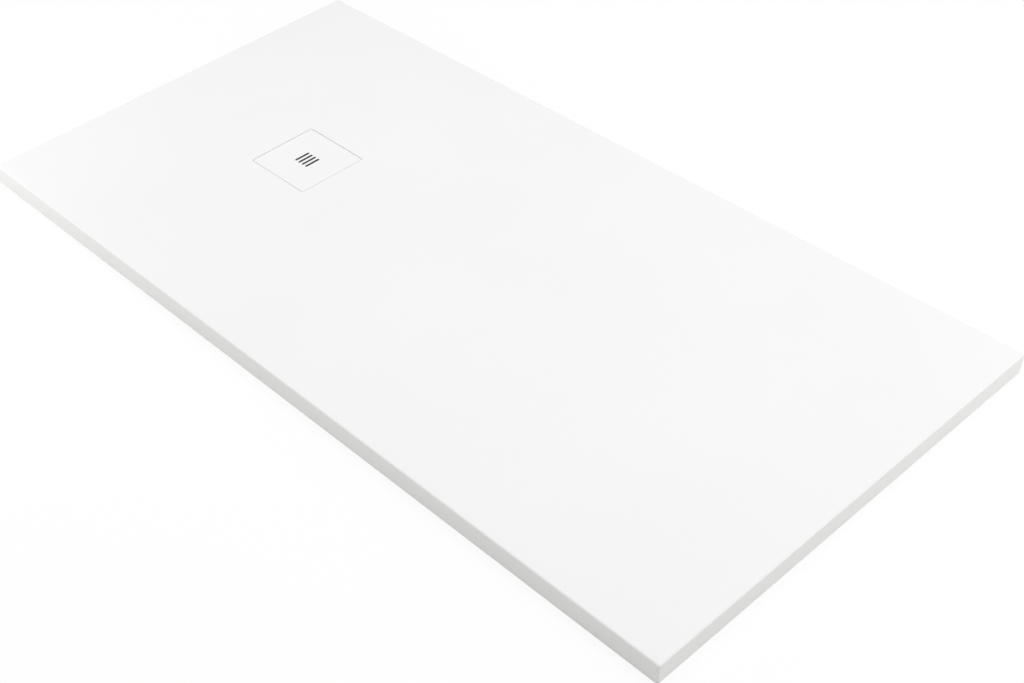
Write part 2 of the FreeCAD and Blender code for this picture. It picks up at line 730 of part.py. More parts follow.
def make_compression_joint():
    mouth = f"{S}socket_reach"
    washer_end = f"({mouth} + {S}washer_length)"
    slip_end = f"({washer_end} + {S}slip_ring_length)"
    nut_start = f"({mouth} - {S}nut_engagement)"
    nut_end = f"({slip_end} + {S}nut_end_wall)"
    around_pipe = f"({S}pipe_radius + {S}washer_gap)"
    washer_outside = f"({around_pipe} + {S}washer_wall)"
    nut_bore = f"({THREAD_RADIUS} + {S}nut_clearance)"
    nut_outside = f"({nut_bore} + {S}nut_wall)"

    outlet_ring(
        "tapered_washer",
        [
            (mouth, around_pipe),
            (mouth, f"({washer_outside} - {S}washer_wall / 3)"),
            (f"({mouth} + {S}washer_length / 2)", washer_outside),
            (washer_end, washer_outside),
            (washer_end, around_pipe),
        ],
    )
    outlet_ring(
        "slip_ring",
        [
            (washer_end, around_pipe),
            (washer_end, washer_outside),
            (slip_end, washer_outside),
            (slip_end, around_pipe),
        ],
    )
    nut = outlet_ring(
        "union_nut",
        [
            (nut_start, nut_bore),
            (nut_start, nut_outside),
            (nut_end, nut_outside),
            (nut_end, around_pipe),
            (slip_end, around_pipe),
            (slip_end, nut_bore),
        ],
    )
    flute_plan = new_sketch(nut, "flute_plan", "YZ_Plane", f"-{nut_start}")
    draw_circle(flute_plan, f"{S}nut_flute_radius", ORIGIN, nut_outside)
    length = f"({nut_end} - {nut_start})"
    flute = pocket(nut, "flute", flute_plan, length)
    repeat_round(nut, "flutes", [flute], f"{S}nut_flutes", axis="X_Axis")


# ---- build, check and write ------------------------------------------------------------


def check_and_write():
    document.recompute()
    for item in document.Objects:
        wrong = [word for word in item.State if word in ("Invalid", "Error")]
        if wrong:
            raise RuntimeError(f"{item.Label} is {wrong[0]}")
    for body in bodies:
        shape = body.Shape
        if shape.isNull() or not shape.isValid() or not shape.Solids:
            raise RuntimeError(f"{body.Label} has no valid solid")
    os.makedirs("parts", exist_ok=True)
    for body in bodies:
        body.Shape.exportStep(f"parts/{body.Label}.step")


make_tray()
make_cover()
make_cover_pads()
make_seals()
make_flange()
make_screws()
make_trap_top()
make_inserts()
make_pot()
make_dip_tube()
make_o_ring()
make_strainer()
make_elbow()
make_compression_joint()
check_and_write()
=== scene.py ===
import math

import bmesh
import bpy
from mathutils import Matrix, Vector


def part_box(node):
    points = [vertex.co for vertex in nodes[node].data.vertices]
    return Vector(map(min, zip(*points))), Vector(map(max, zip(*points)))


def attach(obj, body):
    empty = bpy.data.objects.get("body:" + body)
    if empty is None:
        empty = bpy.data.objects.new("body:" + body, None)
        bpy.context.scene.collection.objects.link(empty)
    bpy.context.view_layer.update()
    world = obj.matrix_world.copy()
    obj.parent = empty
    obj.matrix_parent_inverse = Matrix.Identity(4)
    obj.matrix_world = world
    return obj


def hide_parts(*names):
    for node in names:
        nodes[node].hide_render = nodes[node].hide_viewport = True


# A low white shower tray cast in mineral composite, with its flush slotted cover and the
# waste set that the cover hides. Lengths are metres, in the frame's own axes: the origin is
# the centre of the tray's underside, +X runs away from the drain end and +Z points up.

MM = 0.001

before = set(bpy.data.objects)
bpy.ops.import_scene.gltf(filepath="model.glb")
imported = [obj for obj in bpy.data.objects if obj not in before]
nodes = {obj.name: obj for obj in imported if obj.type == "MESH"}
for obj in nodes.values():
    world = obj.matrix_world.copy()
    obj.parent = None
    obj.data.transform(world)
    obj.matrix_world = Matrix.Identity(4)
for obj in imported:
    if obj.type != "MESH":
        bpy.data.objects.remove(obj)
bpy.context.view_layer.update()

# ---- places and sizes taken from the frame ---------------------------------------------

TRAY_LOW, TRAY_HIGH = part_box("tray")
COVER_LOW, COVER_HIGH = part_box("cover_plate")
FLANGE_LOW, FLANGE_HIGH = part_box("waste_flange")
TUBE_LOW, TUBE_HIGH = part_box("dip_tube")
STRAINER_LOW, STRAINER_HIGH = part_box("hair_strainer")
PAD_LOW, PAD_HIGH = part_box("cover_pad_1")
COVER_SIZE = COVER_HIGH.x - COVER_LOW.x
DRAIN_X = (COVER_LOW.x + COVER_HIGH.x) / 2
DRAIN = Vector((DRAIN_X, 0, 0))

# ---- sizes of the details --------------------------------------------------------------

# the casting
CORNER_ROUND = 3 * MM
RIM_ROUND = 3 * MM
FOOT_ROUND = 0.8 * MM
RIM_WIDTH = 25 * MM
# the fall ends outside the cover's real gap, but the joint that shows is narrower
COVER_GAP = 1.5 * MM
COVER_JOINT = 1 * MM
RECESS_MARGIN = 4 * MM
RECESS_ROUND = 4.5 * MM
SEAT_RADIUS = 59 * MM
SEAT_DEPTH = 4 * MM
HOLE_RADIUS = 45 * MM
UNDER_SEAT_RADIUS = 75 * MM
UNDER_SEAT_DEPTH = 6 * MM
RELIEF_SIZE = 110 * MM
RELIEF_DEPTH = 16 * MM
RELIEF_ROUND = 12 * MM
RELIEF_PITCH = 140 * MM
RELIEF_COLUMNS, RELIEF_ROWS = 10, 5
DRAIN_BLOCK = 180 * MM
FALL_CUTS = 15
FALL_SMOOTHINGS = 14

# the cover and its feet
COVER_ROUND = 3 * MM
COVER_EDGE = 0.5 * MM
SLOT_COUNT = 4
SLOT_WIDTH = 4.5 * MM
SLOT_LENGTH = 31.5 * MM
SLOT_PITCH = 9 * MM
SLOT_EDGE = 0.3 * MM
SLOT_END_ROUND = 0.49 * SLOT_WIDTH  # just under half, so that the two rounds don't meet
PAD_RADIUS = 6 * MM
PAD_INSET = 14 * MM
PAD_ROUND = 0.9 * MM

# the flange and its screws
THROAT_RADIUS = 33 * MM
THROAT_ROUND = 1.4 * MM
SKIRT_RADIUS = 35 * MM
SKIRT_FILLET = 0.8 * MM
FLANGE_RADIUS = 57 * MM
FLANGE_THICKNESS = 3 * MM
FLANGE_EDGE = 1 * MM
FLANGE_EASE = 0.15 * MM
SCREW_COUNT = 4
SCREW_CIRCLE = 40 * MM
SCREW_HOLE = 2.7 * MM
SCREW_SINK = 4.85 * MM

# the dip tube
TUBE_BORE = 24 * MM
TUBE_RADIUS = 26 * MM
TUBE_EASE = 0.4 * MM  # the modifier narrows it where edges lie close together
PLUG_RADIUS = 28.7 * MM
PLUG_LENGTH = 11 * MM
HEAD_RADIUS = 32 * MM
HEAD_THICKNESS = 3 * MM
GROOVE_RADIUS = 26.4 * MM
GROOVE_HEIGHT = 3.2 * MM
GROOVE_OFFSET = 4.3 * MM
BAR_WIDTH, BAR_HEIGHT, BAR_DEPTH = 5 * MM, 6 * MM, 22 * MM
BAR_ROUND = 1.2 * MM

# the strainer
BASKET_RADIUS = 22.5 * MM
BASKET_RIM = 31.5 * MM
BASKET_WALL = 1.5 * MM
BASKET_FOOT_ROUND = 1.4 * MM
BASKET_LIP_ROUND = 1.2 * MM
BASKET_HOLE = 2.2 * MM
BASKET_HOLES = ((6, 8 * MM), (12, 16 * MM))  # how many on a circle of what radius
HOLE_BELOW, HOLE_ABOVE = 2 * MM, 0.2 * MM  # how far a cutter reaches past the floor
KNOB_RADIUS = 3.5 * MM
KNOB_ROUND = 1.6 * MM
KNOB_FILLET = 1.2 * MM

# how closely points, edges and faces are told apart
SAME = 0.001 * MM
NEAR = 0.01 * MM
OFF_LEVEL = 0.1 * MM
ALIGNED = 0.99  # the cosine from which a direction counts as upright
SMOOTH_ANGLE = math.radians(35)


# ---- working with the mesh operators ---------------------------------------------------


def take(piece):
    """Makes one object the only selected and the active one."""
    bpy.ops.object.select_all(action="DESELECT")
    piece.select_set(True)
    bpy.context.view_layer.objects.active = piece


def pick(kind, test):
    """In edit mode, selects the faces, edges or vertices that pass a test, and no others."""
    bpy.ops.mesh.select_mode(type=kind)
    bpy.ops.mesh.select_all(action="DESELECT")
    mesh = bpy.context.object.data
    shape = bmesh.from_edit_mesh(mesh)
    parts = {"VERT": shape.verts, "EDGE": shape.edges, "FACE": shape.faces}[kind]
    for part in parts:
        if test(part):
            part.select_set(True)
    shape.select_flush_mode()
    bmesh.update_edit_mesh(mesh)


def upright(edge):
    """True for an edge that runs straight up."""
    along = edge.verts[1].co - edge.verts[0].co
    return abs(along.z) > ALIGNED * along.length


def at_level(level):
    """A test for edges that lie in one horizontal plane."""
    return lambda edge: all(abs(vertex.co.z - level) < SAME for vertex in edge.verts)


def on_ring(radius, height):
    """A test for the edges of one ring about the drain's axis."""

    def test(edge):
        return all(
            abs(math.hypot(vertex.co.x - DRAIN_X, vertex.co.y) - radius) < NEAR
            and abs(vertex.co.z - height) < NEAR
            for vertex in edge.verts
        )

    return test


def start_box(name, low, high):
    """A box between two corners, to be shaped further."""
    bpy.ops.object.select_all(action="DESELECT")
    bpy.ops.mesh.primitive_cube_add(size=1, location=(low + high) / 2)
    piece = bpy.context.object
    piece.name = piece.data.name = name
    piece.scale = high - low
    bpy.ops.object.transform_apply(location=True, rotation=True, scale=True)
    return piece


def bevel(piece, test, width, segments):
    """Rounds the edges of a piece that pass a test."""
    take(piece)
    bpy.ops.object.mode_set(mode="EDIT")
    pick("EDGE", test)
    bpy.ops.mesh.bevel(offset=width, segments=segments, affect="EDGES")
    bpy.ops.object.mode_set(mode="OBJECT")


def rounded_box(name, low, high, radius, segments=8):
    """A box whose four upright edges are rounded."""
    piece = start_box(name, low, high)
    bevel(piece, upright, radius, segments)
    return piece


def apply_modifier(piece, kind, **settings):
    """Adds a modifier to a piece and applies it at once."""
    take(piece)
    modifier = piece.modifiers.new(kind.lower(), kind)
    for setting, value in settings.items():
        setattr(modifier, setting, value)
    bpy.ops.object.modifier_apply(modifier=modifier.name)


def combine(piece, other, operation="DIFFERENCE"):
    """Cuts another shape out of a piece, or joins it on, and removes the other one."""
    apply_modifier(piece, "BOOLEAN", operation=operation, object=other, solver="EXACT")
    bpy.data.objects.remove(other)


def cut_round(piece, radius, low, high, x=DRAIN_X, y=0.0, sides=96):
    """Cuts an upright cylindrical hole."""
    bpy.ops.object.select_all(action="DESELECT")
    bpy.ops.mesh.primitive_cylinder_add(
        vertices=sides, radius=radius, depth=high - low, location=(x, y, (low + high) / 2)
    )
    combine(piece, bpy.context.object)


def turned(name, profile, centre=(DRAIN_X, 0), closed=True, sides=96):
    """A piece turned about an upright axis through (radius, height) points.

    A closed profile comes back to its first point, any other is capped at both ends."""
    x, y = centre
    radius, height = profile[0]
    bpy.ops.object.select_all(action="DESELECT")
    bpy.ops.mesh.primitive_circle_add(vertices=sides, radius=radius, location=(x, y, height))
    piece = bpy.context.object
    piece.name = piece.data.name = name
    bpy.ops.object.transform_apply(location=True)
    bpy.ops.object.mode_set(mode="EDIT")
    bpy.ops.mesh.select_all(action="SELECT")
    for next_radius, next_height in profile[1:] + profile[: 1 if closed else 0]:
        bpy.ops.mesh.extrude_edges_move()
        spread = next_radius / radius
        bpy.ops.transform.resize(
            value=(spread, spread, 1), center_override=(x, y, height)
        )
        bpy.ops.transform.translate(value=(0, 0, next_height - height))
        radius, height = next_radius, next_height
    bpy.ops.mesh.select_all(action="SELECT")
    bpy.ops.mesh.remove_doubles(threshold=SAME)
    if not closed:
        bpy.ops.mesh.fill_holes(sides=0)
    bpy.ops.mesh.select_all(action="SELECT")
    bpy.ops.mesh.normals_make_consistent(inside=False)
    bpy.ops.object.mode_set(mode="OBJECT")
    return piece


def copy_piece(piece, name, shift):
    """A moved copy with a mesh of its own."""
    take(piece)
    bpy.ops.object.duplicate()
    copy = bpy.context.object
    copy.name = copy.data.name = name
    bpy.ops.transform.translate(value=shift)
    bpy.ops.object.transform_apply(location=True)
    return copy


def around_drain(count, circle):
    """Evenly spaced places on a circle about the drain's axis."""
    for number in range(count):
        turn = 2 * math.pi * number / count
        yield DRAIN_X + circle * math.cos(turn), circle * math.sin(turn)


def ease_edges(piece, width, segments=2, angle=40):
    """Rounds every edge at which the surface turns by more than an angle in degrees."""
    apply_modifier(
        piece,
        "BEVEL",
        width=width,
        segments=segments,
        limit_method="ANGLE",
        angle_limit=math.radians(angle),
    )


def wear(piece, material):
    """Makes a material the only one on a piece."""
    piece.data.materials.clear()
    piece.data.materials.append(material)


def finish_piece(piece, body, replaced, material):
    """Shades a piece, gives it its finish and hangs it on its body."""
    take(piece)
    bpy.ops.object.shade_smooth_by_angle(angle=SMOOTH_ANGLE)
    apply_modifier(piece, "WEIGHTED_NORMAL", keep_sharp=True)
    wear(piece, material)
    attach(piece, body)
    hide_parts(*replaced)


# ---- working with shader nodes ---------------------------------------------------------

NOISE_SPREAD = (0.35, 0.65)  # the range that most of a noise texture's values lie in


def new_group(name, inputs, outputs):
    """An empty node group of numbers: inputs with their defaults, and outputs."""
    group = bpy.data.node_groups.new(name, "ShaderNodeTree")
    kind = "NodeSocketFloat"
    for label, value in inputs.items():
        socket = group.interface.new_socket(label, in_out="INPUT", socket_type=kind)
        socket.default_value = value
    for label in outputs:
        group.interface.new_socket(label, in_out="OUTPUT", socket_type=kind)
    return group, group.nodes.new("NodeGroupInput"), group.nodes.new("NodeGroupOutput")


def add_node(tree, kind, **settings):
    """A new node with some of its settings changed."""
    node = tree.nodes.new(kind)
    for setting, value in settings.items():
        setattr(node, setting, value)
    return node


def feed(tree, socket, value):
    """Links an input to another node's output, or sets it to a value."""
    if isinstance(value, bpy.types.NodeSocket):
        tree.links.new(value, socket)
    else:
        socket.default_value = value


def add_place(tree):
    """The place on the object, in its own axes, which are the frame's."""
    return add_node(tree, "ShaderNodeTexCoord").outputs["Object"]


def add_noise(tree, vector, scale, detail, roughness):
    """A noise value in space."""
    noise = add_node(tree, "ShaderNodeTexNoise", normalize=True)
    feed(tree, noise.inputs["Vector"], vector)
    feed(tree, noise.inputs["Scale"], scale)
    feed(tree, noise.inputs["Detail"], detail)
    feed(tree, noise.inputs["Roughness"], roughness)
    return noise.outputs["Fac"]


def add_math(tree, operation, *values):
    """The result of a sum on sockets or numbers."""
    node = add_node(tree, "ShaderNodeMath", operation=operation)
    for socket, value in zip(node.inputs, values):
        feed(tree, socket, value)
    return node.outputs[0]


def add_length(tree, vector):
    """The length of a vector."""
    node = add_node(tree, "ShaderNodeVectorMath", operation="LENGTH")
    feed(tree, node.inputs[0], vector)
    return node.outputs["Value"]


def add_range(tree, value, low, high, source=NOISE_SPREAD):
    """Spreads a source range of values over low to high, and holds the rest at its ends."""
    node = add_node(tree, "ShaderNodeMapRange", clamp=True)
    feed(tree, node.inputs["Value"], value)
    feed(tree, node.inputs["From Min"], source[0])
    feed(tree, node.inputs["From Max"], source[1])
    feed(tree, node.inputs["To Min"], low)
    feed(tree, node.inputs["To Max"], high)
    return node.outputs["Result"]


def add_blend(tree, share, first, second):
    """A colour between two others."""
    node = add_node(tree, "ShaderNodeMix", data_type="RGBA")
    feed(tree, node.inputs["Factor"], share)
    feed(tree, node.inputs["A"], first)
    feed(tree, node.inputs["B"], second)
    return node.outputs["Result"]


def mix_shaders(tree, share, first, second, end):
    """Sends the mix of two shaders to the end node of a material or a world."""
    mix = add_node(tree, "ShaderNodeMixShader")
    for socket, source in zip(mix.inputs, (share, first, second)):
        tree.links.new(source, socket)
    tree.links.new(mix.outputs["Shader"], tree.nodes[end].inputs["Surface"])


# ---- finishes --------------------------------------------------------------------------

# each finish has a dark and a light tone, and the depth of its relief
WHITE_TONES = ((0.895, 0.897, 0.895), (0.912, 0.913, 0.910))
# painted shade: the tray's four outer faces take darker, slightly warm tones than its top
OUTER_SHADE_TONES = ((0.85, 0.85, 0.83), (0.87, 0.87, 0.852))
# painted shade: the walls of the cover's slots take near-black tones, so that the slots look
# deep and dark
SLOT_SHADE_TONES = ((0.15, 0.15, 0.15), (0.19, 0.19, 0.187))
WHITE_RELIEF = 0.012 * MM
PLASTIC_RELIEF = 0.03 * MM
RUBBER_RELIEF = 0.05 * MM
METAL_RELIEF = 0.01 * MM
TURNED_RELIEF = 0.02 * MM
CLOUD_SHARE = 0.75
OUTER_MARGIN = 0.3 * MM
SLOT_REACH = 0.8 * SLOT_LENGTH  # all the slots lie nearer to the drain's axis than this


def send_pattern(group, given, result, pattern, height):
    """Sends a pattern on as a tone, as a roughness in the given range, and as a height."""
    rough = add_range(group, pattern, given.outputs["Smoothest"], given.outputs["Roughest"])
    feed(group, result.inputs["Tone"], add_range(group, pattern, 0.0, 1.0))
    feed(group, result.inputs["Roughness"], rough)
    feed(group, result.inputs["Height"], height)


def make_grain_group():
    """Fine grain and slow clouding, for cast and moulded surfaces."""
    group, given, result = new_group(
        "fine_grain",
        {"Grain Scale": 900.0, "Cloud Scale": 5.0, "Smoothest": 0.5, "Roughest": 0.6},
        ["Tone", "Roughness", "Height"],
    )
    place = add_place(group)
    grain = add_noise(group, place, given.outputs["Grain Scale"], detail=3.0, roughness=0.6)
    cloud = add_noise(group, place, given.outputs["Cloud Scale"], detail=3.0, roughness=0.5)
    mottled = add_math(group, "ADD", add_math(group, "MULTIPLY", cloud, CLOUD_SHARE),
                       add_math(group, "MULTIPLY", grain, 1 - CLOUD_SHARE))
    send_pattern(group, given, result, mottled, grain)
    return group


def from_drain(tree):
    """The distance from the drain's upright axis."""
    flat = add_node(tree, "ShaderNodeMapping")
    feed(tree, flat.inputs["Vector"], add_place(tree))
    feed(tree, flat.inputs["Location"], (-DRAIN_X, 0, 0))
    feed(tree, flat.inputs["Scale"], (1, 1, 0))
    return add_length(tree, flat.outputs["Vector"])


def make_rings_group():
    """Fine concentric tool marks about the drain's axis, for turned metal."""
    group, given, result = new_group(
        "turned_rings",
        {"Ring Scale": 3500.0, "Smoothest": 0.25, "Roughest": 0.4},
        ["Tone", "Roughness", "Height"],
    )
    noise = add_node(group, "ShaderNodeTexNoise", noise_dimensions="1D", normalize=True)
    feed(group, noise.inputs["W"], from_drain(group))
    feed(group, noise.inputs["Scale"], given.outputs["Ring Scale"])
    feed(group, noise.inputs["Detail"], 4.0)
    marks = noise.outputs["Fac"]
    send_pattern(group, given, result, marks, marks)
    return group


def make_outer_shade_group():
    """The share of a surface that belongs to the tray's four outer faces, where shade is
    painted on as darker, slightly warm tones.
    """
    group, _, result = new_group("outer_painted_shade", {}, ["Share"])
    parts = add_node(group, "ShaderNodeSeparateXYZ")
    feed(group, parts.inputs["Vector"], add_place(group))
    shares = []
    for label, half in (("X", TRAY_HIGH.x), ("Y", TRAY_HIGH.y)):
        out = add_math(group, "ABSOLUTE", parts.outputs[label])
        band = (half - RIM_ROUND / 2, half - OUTER_MARGIN)
        shares.append(add_range(group, out, 0.0, 1.0, band))
    feed(group, result.inputs["Share"], add_math(group, "MAXIMUM", *shares))
    return group


def make_slot_shade_group():
    """The share of a surface that belongs to the walls of the cover's slots, where shade is
    painted on as near-black tones.
    """
    group, _, result = new_group("slot_painted_shade", {}, ["Share"])
    parts = add_node(group, "ShaderNodeSeparateXYZ")
    feed(group, parts.inputs["Vector"], add_place(group))
    height = parts.outputs["Z"]
    top, foot = COVER_HIGH.z - SLOT_EDGE, COVER_LOW.z + SLOT_EDGE
    below = add_range(group, height, 1.0, 0.0, (top - SLOT_EDGE, top))
    above = add_range(group, height, 0.0, 1.0, (foot, foot + SLOT_EDGE))
    near = add_math(group, "LESS_THAN", from_drain(group), SLOT_REACH)
    inside = add_math(group, "MULTIPLY", add_math(group, "MULTIPLY", below, above), near)
    feed(group, result.inputs["Share"], inside)
    return group


def make_finish(name, group, tones, relief, values, metallic=0.0, specular=0.5):
    """A finish whose colour, roughness and relief follow a group's pattern."""
    material = bpy.data.materials.new(name)
    material.use_nodes = True
    tree = material.node_tree
    shader = tree.nodes["Principled BSDF"]
    pattern = add_node(tree, "ShaderNodeGroup", node_tree=group)
    for label, value in values.items():
        feed(tree, pattern.inputs[label], value)
    dark, light = tones
    colour = add_blend(tree, pattern.outputs["Tone"], (*dark, 1), (*light, 1))
    bump = add_node(tree, "ShaderNodeBump")
    feed(tree, bump.inputs["Strength"], 1.0)
    feed(tree, bump.inputs["Distance"], relief)
    feed(tree, bump.inputs["Height"], pattern.outputs["Height"])
    feed(tree, shader.inputs["Base Color"], colour)
    feed(tree, shader.inputs["Roughness"], pattern.outputs["Roughness"])
    feed(tree, shader.inputs["Normal"], bump.outputs["Normal"])
    feed(tree, shader.inputs["Metallic"], metallic)
    feed(tree, shader.inputs["Specular IOR Level"], specular)
    return material


def paint_shade(material, group, tones):
    """Paints shade onto a part of a finish, told by a group's share, as a pair of darker
    tones of its own.
    """
    tree = material.node_tree
    base = tree.nodes["Principled BSDF"].inputs["Base Color"]
    plain = base.links[0].from_socket
    tone = plain.node.inputs["Factor"].links[0].from_socket
    share = add_node(tree, "ShaderNodeGroup", node_tree=group).outputs["Share"]
    dark, light = tones
    own = add_blend(tree, tone, (*dark, 1), (*light, 1))
    feed(tree, base, add_blend(tree, share, plain, own))


grain = make_grain_group()
rings = make_rings_group()

cast_white = make_finish(
    "cast_white", grain, WHITE_TONES, WHITE_RELIEF,
    {"Grain Scale": 1100.0, "Cloud Scale": 3.0, "Smoothest": 0.5, "Roughest": 0.62},
    specular=0.4,
)
cover_white = make_finish(
    "cover_white", grain, WHITE_TONES, WHITE_RELIEF,
    {"Grain Scale": 1100.0, "Cloud Scale": 6.0, "Smoothest": 0.5, "Roughest": 0.62},
    specular=0.4,
)
# painted shade, on the tray's outer faces and on the walls of the cover's slots
paint_shade(cast_white, make_outer_shade_group(), OUTER_SHADE_TONES)
paint_shade(cover_white, make_slot_shade_group(), SLOT_SHADE_TONES)
black_rubber = make_finish(
    "black_rubber", grain, ((0.012, 0.012, 0.012), (0.03, 0.03, 0.031)), RUBBER_RELIEF,
    {"Grain Scale": 1600.0, "Cloud Scale": 60.0, "Smoothest": 0.62, "Roughest": 0.85},
)
turned_steel = make_finish(
    "turned_steel", rings, ((0.5, 0.5, 0.49), (0.68, 0.68, 0.67)), TURNED_RELIEF,
    {"Ring Scale": 3500.0, "Smoothest": 0.24, "Roughest": 0.42}, metallic=1.0,
)
screw_steel = make_finish(
    "screw_steel", grain, ((0.45, 0.45, 0.44), (0.66, 0.66, 0.65)), METAL_RELIEF,
    {"Grain Scale": 2500.0, "Cloud Scale": 150.0, "Smoothest": 0.2, "Roughest": 0.38},
    metallic=1.0,
)
moulded_white = make_finish(
    "moulded_white", grain, ((0.72, 0.72, 0.7), (0.8, 0.8, 0.785)), PLASTIC_RELIEF,
    {"Grain Scale": 1300.0, "Cloud Scale": 25.0, "Smoothest": 0.34, "Roughest": 0.5},
)
moulded_grey = make_finish(
    "moulded_grey", grain, ((0.31, 0.32, 0.33), (0.37, 0.38, 0.39)), PLASTIC_RELIEF,
    {"Grain Scale": 1300.0, "Cloud Scale": 40.0, "Smoothest": 0.36, "Roughest": 0.52},
)
moulded_black = make_finish(
    "moulded_black", grain, ((0.02, 0.02, 0.022), (0.04, 0.04, 0.043)), PLASTIC_RELIEF,
    {"Grain Scale": 1500.0, "Cloud Scale": 60.0, "Smoothest": 0.34, "Roughest": 0.5},
)
machined_brass = make_finish(
    "machined_brass", grain, ((0.58, 0.4, 0.15), (0.74, 0.55, 0.26)), METAL_RELIEF,
    {"Grain Scale": 2500.0, "Cloud Scale": 120.0, "Smoothest": 0.22, "Roughest": 0.4},
    metallic=1.0,
)


# ---- the casting -----------------------------------------------------------------------


def top_face(face):
    """True for a face that is level with the tray's highest plane."""
    level = face.calc_center_median().z > TRAY_HIGH.z - NEAR
    return level and face.normal.z > ALIGNED


def shape_fall(tray):
    """Cuts the rim line into the top and draws the middle down to the cover's place."""
    rim_x, rim_y = TRAY_HIGH.x - RIM_WIDTH, TRAY_HIGH.y - RIM_WIDTH
    foot = COVER_SIZE + 2 * (COVER_GAP + RECESS_MARGIN)
    take(tray)
    bpy.ops.object.mode_set(mode="EDIT")
    for place, across in (
        ((rim_x, 0, 0), (1, 0, 0)),
        ((-rim_x, 0, 0), (1, 0, 0)),
        ((0, rim_y, 0), (0, 1, 0)),
        ((0, -rim_y, 0), (0, 1, 0)),
    ):
        pick("FACE", top_face)
        bpy.ops.mesh.bisect(plane_co=place, plane_no=across)

    def inside_rim(face):
        centre = face.calc_center_median()
        return top_face(face) and abs(centre.x) < rim_x and abs(centre.y) < rim_y

    pick("FACE", inside_rim)
    inset = rim_y / 2
    bpy.ops.mesh.inset(thickness=inset)
    width, depth = 2 * (rim_x - inset), 2 * (rim_y - inset)
    bpy.ops.transform.resize(
        value=(foot / width, foot / depth, 1), center_override=(0, 0, TRAY_HIGH.z)
    )
    bpy.ops.transform.translate(value=(DRAIN_X, 0, COVER_HIGH.z - TRAY_HIGH.z))

    def sloping(face):
        height = face.calc_center_median().z
        between = COVER_HIGH.z + OFF_LEVEL < height < TRAY_HIGH.z - OFF_LEVEL
        return between and face.normal.z > ALIGNED

    def on_slope(vertex):
        place = vertex.co
        off_rim = abs(place.x) < rim_x - NEAR and abs(place.y) < rim_y - NEAR
        return off_rim and place.z > COVER_HIGH.z + NEAR

    pick("FACE", sloping)
    bpy.ops.mesh.subdivide(number_cuts=FALL_CUTS)
    pick("VERT", on_slope)
    bpy.ops.mesh.vertices_smooth(
        factor=0.5, repeat=FALL_SMOOTHINGS, xaxis=False, yaxis=False
    )
    bpy.ops.object.mode_set(mode="OBJECT")


def relief_cutters():
    """The pockets under the casting, less the block that stays solid about the drain."""
    first = Vector((-(RELIEF_COLUMNS - 1) / 2 * RELIEF_PITCH,
                    -(RELIEF_ROWS - 1) / 2 * RELIEF_PITCH, 0))
    half = Vector((RELIEF_SIZE / 2, RELIEF_SIZE / 2, RELIEF_DEPTH))
    cutters = rounded_box(
        "relief_cutter", first - half, first + half, RELIEF_ROUND, segments=6
    )
    for count, step in ((RELIEF_COLUMNS, (RELIEF_PITCH, 0, 0)),
                        (RELIEF_ROWS, (0, RELIEF_PITCH, 0))):
        apply_modifier(
            cutters,
            "ARRAY",
            count=count,
            use_relative_offset=False,
            use_constant_offset=True,
            constant_offset_displace=step,
        )
    block = Vector((DRAIN_BLOCK / 2, DRAIN_BLOCK / 2, 2 * RELIEF_DEPTH))
    combine(cutters, start_box("drain_block", DRAIN - block, DRAIN + block))
    return cutters


def make_tray():
    """The casting, with its fall, the cover's recess, the waste hole and the pockets."""
    tray = rounded_box("cast_tray", TRAY_LOW, TRAY_HIGH, CORNER_ROUND)
    bevel(tray, at_level(TRAY_HIGH.z), RIM_ROUND, segments=6)
    bevel(tray, at_level(TRAY_LOW.z), FOOT_ROUND, segments=2)
    shape_fall(tray)
    half = COVER_SIZE / 2 + COVER_JOINT
    low = DRAIN + Vector((-half, -half, PAD_LOW.z))
    high = DRAIN + Vector((half, half, TRAY_HIGH.z))
    combine(tray, rounded_box("recess_cutter", low, high, RECESS_ROUND))
    cut_round(tray, SEAT_RADIUS, PAD_LOW.z - SEAT_DEPTH, TRAY_HIGH.z)
    cut_round(tray, UNDER_SEAT_RADIUS, -UNDER_SEAT_DEPTH, UNDER_SEAT_DEPTH)
    cut_round(tray, HOLE_RADIUS, -TRAY_HIGH.z, TRAY_HIGH.z)
    combine(tray, relief_cutters())
    return tray


# ---- the cover -------------------------------------------------------------------------


def make_cover():
    """The square cover, with a row of round-ended slots in its middle."""
    cover = rounded_box("slotted_cover", COVER_LOW, COVER_HIGH, COVER_ROUND)
    bevel(cover, at_level(COVER_HIGH.z), COVER_EDGE, segments=3)
    reach = Vector((SLOT_WIDTH / 2, SLOT_LENGTH / 2, COVER_HIGH.z))
    for number in range(SLOT_COUNT):
        x = DRAIN_X + (number - (SLOT_COUNT - 1) / 2) * SLOT_PITCH
        centre = Vector((x, 0, COVER_HIGH.z))
        slot = rounded_box("slot_cutter", centre - reach, centre + reach, SLOT_END_ROUND)
        combine(cover, slot)
    ease_edges(cover, SLOT_EDGE)
    return cover


def make_pads():
    """Four rubber feet, domed a little at their edges, in the cover's corners."""
    out = COVER_SIZE / 2 - PAD_INSET
    profile = [(PAD_RADIUS, PAD_LOW.z), (PAD_RADIUS, PAD_HIGH.z)]
    first = turned("cover_foot_1", profile, (DRAIN_X + out, out), closed=False, sides=40)
    ease_edges(first, PAD_ROUND, segments=3)
    shifts = ((-2 * out, 0, 0), (-2 * out, -2 * out, 0), (0, -2 * out, 0))
    rest = [copy_piece(first, f"cover_foot_{number}", shift)
            for number, shift in enumerate(shifts, start=2)]
    return [first, *rest]


# ---- the waste set ---------------------------------------------------------------------


